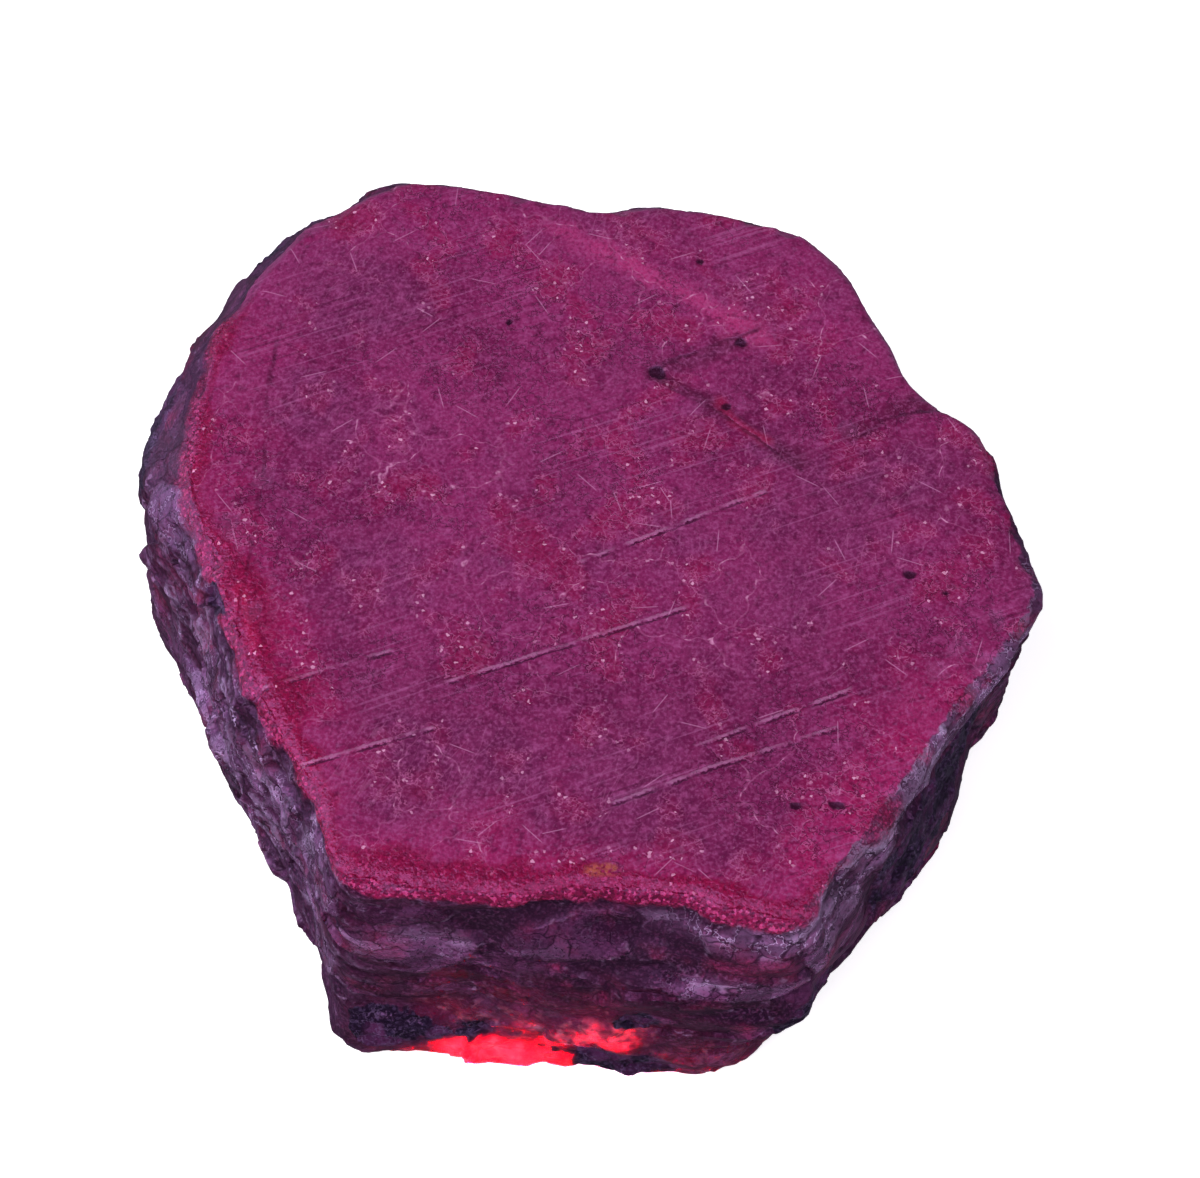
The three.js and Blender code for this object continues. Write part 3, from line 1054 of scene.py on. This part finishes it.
# %% Washes of colour
BODY = "#5e123c"
WALL = "#18030c"
MICA = "#060509"
surfaces = {"top": linear(BODY), "wall": linear(WALL), "mica": linear(MICA)}
for surface, mask, strength, colour in [
    ("top", "paler body and painted back sheen", 1.0, "#711c4b"),
    ("top", "crimson zone", 0.5, "#7b0c3a"),
    ("top", "haze", 0.35, "#56244a"),
    # painted shade, darker towards the front of the top
    ("top", "shade", 0.3, "#480a2c"),
    # painted rim glow
    ("top", "painted_rim_glow", 0.7, "#8c1148"),
    ("top", "dusty patch", 0.25, "#7e2c5a"),
    ("top", "stain", 0.65, "#3a0a1e"),
    ("top", "vein", 0.55, "#a63268"),
    ("top", "light cloud", 0.4, "#8a3a6c"),
    ("top", "dark cloud", 0.6, "#440828"),
    ("top", "bright facet", 0.12, "#9c5482"),
    ("top", "dark facet", 0.15, "#3c0722"),
    ("top", "light grain", 0.35, "#8c4674"),
    ("top", "dark grain", 0.35, "#42082a"),
    ("top", "light line", 0.35, "#93507d"),
    ("top", "dark line", 0.5, "#3a0720"),
    ("top", "hair a", 0.15, "#a8648e"),
    ("top", "hair b", 0.15, "#a8648e"),
    ("top", "craze lit", 0.45, "#a85a86"),
    ("top", "craze", 0.55, "#3a041a"),
    ("top", "scratch", 0.4, "#b87aa4"),
    ("top", "net", 0.2, "#a85c88"),
    ("top", "net bits", 0.6, "#c98fb2"),
    ("top", "bruised", 0.9, "#600325"),
    ("top", "sugar bump", 0.3, "#8a083c"),
    ("top", "dark sugar", 0.35, "#3d0219"),
    ("top", "bright sugar", 0.3, "#a01d54"),
    ("top", "glint", 0.35, "#a81846"),
    ("top", "amber bits", 0.45, "#a8653c"),
    # a painted highlight on the raised lip beside each saw cut
    ("top", "cut lip and its painted highlight", 0.45, "#a06a90"),
    ("top", "cut", 0.8, "#2c0418"),
    ("top", "crack", 0.65, "#2c0616"),
    # painted sparkles: rare tiny pale-pink points on the top
    ("top", "painted sparkle", 0.6, "#cf98b8"),
    # a faint painted lilac sheen on the faces of flakes broken off the top
    ("top", "flake face, painted sheen", 0.1, "#8d5d8b"),
    # The pits are painted near black: painted shade in them.
    ("top", "pit", 0.9, "#19040f"),
    ("wall", "plate", 0.85, "#400a24"),
    ("wall", "crimson zone", 0.6, "#741036"),
    ("wall", "dark plate", 0.6, "#1e040f"),
    # painted sheen on the plates
    ("wall", "smooth plate with painted sheen", 0.7, "#5a2e56"),
    ("wall", "dark chip", 0.5, "#16020a"),
    ("wall", "light chip", 0.25, "#6a3a68"),
    ("wall", "pale_sheen", 0.65, "#7a5680"),
    ("wall", "painted sheen on light chips", 0.7, "#a890b6"),
    ("wall", "dark cloud", 0.7, "#22040f"),
    ("wall", "shaded_hollow", 0.9, "#12020a"),
    # painted highlights along the edges of chips and plates
    ("wall", "painted split highlight", 0.6, "#8a6a94"),
    ("wall", "dark lamina", 0.25, "#1c030c"),
    ("wall", "bright facet", 0.15, "#7a2a58"),
    ("wall", "dark grain", 0.4, "#14020a"),
    ("wall", "light grain", 0.25, "#74426c"),
    ("wall", "craze line", 0.7, "#12020a"),
    ("wall", "painted craze highlight on pale plates", 0.8, "#a88cb4"),
    ("wall", "painted lip highlight", 0.5, "#8b6a8e"),
    ("wall", "chip edge", 0.45, "#1c030f"),
    ("wall", "broken split", 0.8, "#120208"),
    ("wall", "clear", 0.9, "#6c0e2c"),
    # The torch's glow, painted into the colour of the clear places.
    ("wall", "painted glow core", 0.85, "#bc3c58"),
    ("wall", "painted glow, bright bits", 0.35, "#f07890"),
    ("wall", "clear dark", 0.9, "#3a0510"),
    ("wall", "clear split", 0.8, "#300410"),
    ("wall", "bruised", 0.9, "#560422"),
    ("wall", "sugar bump", 0.6, "#7c0a3b"),
    ("wall", "dark sugar", 0.6, "#30020f"),
    ("wall", "bright sugar", 0.6, "#b03a70"),
    ("mica", "light cloud", 0.6, "#1c1628"),
    ("mica", "purple mica", 0.8, "#401838"),
    ("mica", "light grain", 0.3, "#3a2c48"),
    ("mica", "dark chip", 0.6, "#020103"),
    ("mica", "dark cloud", 0.7, "#040205"),
    ("mica", "craze light", 0.5, "#54405e"),
    ("mica", "shaded_hollow", 0.95, "#020103"),
    ("mica", "bright facet", 0.3, "#4a3858"),
]:
    amount = add(tree, "Math", {0: masks[mask], 1: strength}, operation="MULTIPLY")
    layers = {0: amount, 6: surfaces[surface], 7: linear(colour)}
    surfaces[surface] = add(tree, "Mix", layers, out=2, data_type="RGBA")

# %% One colour from the three surfaces
stone_colour = {0: masks["ground"], 6: surfaces["wall"], 7: surfaces["top"]}
stone_colour = add(tree, "Mix", stone_colour, out=2, data_type="RGBA")
whole_colour = {0: masks["mica"], 6: stone_colour, 7: surfaces["mica"]}
whole_colour = add(tree, "Mix", whole_colour, out=2, data_type="RGBA")
tree.links.new(whole_colour, shader.inputs["Base Color"])

# %% [markdown]
# ### Gloss, relief and glow
#
# The gloss follows the surface: satin where the lap crushed it, waxy on the plates, with some plates
# smoother than others, rough in the gaps, and silky on the mica. The finest relief is a bump, in
# millimetres.
#
# Red light travels a few millimetres in this stone, and green and blue hardly at all.

# %% Roughness
gloss = {
    "wall": add(tree, "Mix", {0: masks["smooth plate with painted sheen"], 2: 0.36, 3: 0.26}),
    "top": add(tree, "Mix", {0: values["fine"], 2: 0.24, 3: 0.44}),
}
gloss["wall"] = add(tree, "Mix", {0: masks["plate"], 2: 0.6, 3: gloss["wall"]})
gloss["top"] = add(tree, "Mix", {0: masks["flake face, painted sheen"], 2: gloss["top"], 3: 0.22})
rough = add(tree, "Mix", {0: masks["ground"], 2: gloss["wall"], 3: gloss["top"]})
rough = add(tree, "Mix", {0: masks["bruised"], 2: rough, 3: 0.32})
rough = add(tree, "Mix", {0: masks["mica"], 2: rough, 3: 0.3})
rough = add(tree, "Mix", {0: masks["pit"], 2: rough, 3: 0.3})
tree.links.new(rough, shader.inputs["Roughness"])

# %% Fine relief
heights = {"top": 0.0, "wall": 0.0}
for surface, mask, depth in [
    ("top", "craze", -0.02),
    ("top", "cut", -0.03),
    ("top", "cut lip and its painted highlight", 0.015),
    ("top", "crack", -0.04),
    ("top", "sugar bump", 0.02),
    ("wall", "sugar bump", 0.02),
    ("wall", "plate", 0.03),
    ("wall", "chip edge", -0.02),
]:
    heights[surface] = {0: masks[mask], 1: depth, 2: heights[surface]}
    heights[surface] = add(tree, "Math", heights[surface], operation="MULTIPLY_ADD")
for height, depth in [("fine", 0.01), ("small", 0.02)]:
    heights["top"] = {0: values[height], 1: depth, 2: heights["top"]}
    heights["top"] = add(tree, "Math", heights["top"], operation="MULTIPLY_ADD")
chip_slope = add(tree, "Mix", {0: masks["smooth plate with painted sheen"], 2: 0.3, 3: 0.12})
for height, depth in [("chip tilt", chip_slope), ("laminae", 0.03), ("small", 0.04), ("fine", 0.03)]:
    heights["wall"] = {0: values[height], 1: depth, 2: heights["wall"]}
    heights["wall"] = add(tree, "Math", heights["wall"], operation="MULTIPLY_ADD")
height = add(tree, "Mix", {0: masks["ground"], 2: heights["wall"], 3: heights["top"]})
grainy = add(tree, "Math", {0: masks["bruised"], 1: masks["mica"]}, operation="MAXIMUM")
grainy = add(tree, "MapRange", {"Value": grainy, "To Min": 0.06, "To Max": 0.22})
height = add(tree, "Math", {0: values["grain tilt"], 1: grainy, 2: height}, operation="MULTIPLY_ADD")
bump = add(tree, "Bump", {"Height": height, "Strength": 1.0, "Distance": MM})
tree.links.new(bump, shader.inputs["Normal"])

# %% Glow
# Crushed stone at the rim lets a little light in, and the clear places let it through. On top of this, the
# clear places' bright glow is painted into the colour.
see_into = add(tree, "Math", {0: masks["clear"], 1: 1.3}, operation="POWER")
see_into = add(tree, "Math", {0: masks["bruised"], 1: 0.25, 2: see_into}, operation="MULTIPLY_ADD")
see_into = add(tree, "Mix", {0: masks["mica"], 2: see_into, 3: 0.0})
tree.links.new(see_into, shader.inputs["Subsurface Weight"])
for socket, value in [
    ("Subsurface Radius", (1.0, 0.16, 0.18)),
    ("Subsurface Scale", 8 * MM),
    ("IOR", 1.77),
    ("Specular IOR Level", 0.25),
    ("Specular Tint", linear("#f4a0ff")),
]:
    shader.inputs[socket].default_value = value
stone.data.materials.append(ruby)
print("ruby has", len(tree.nodes), "nodes")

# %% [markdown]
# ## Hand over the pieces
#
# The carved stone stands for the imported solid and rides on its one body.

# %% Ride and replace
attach(stone, "root")
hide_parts("ruby_crystal")
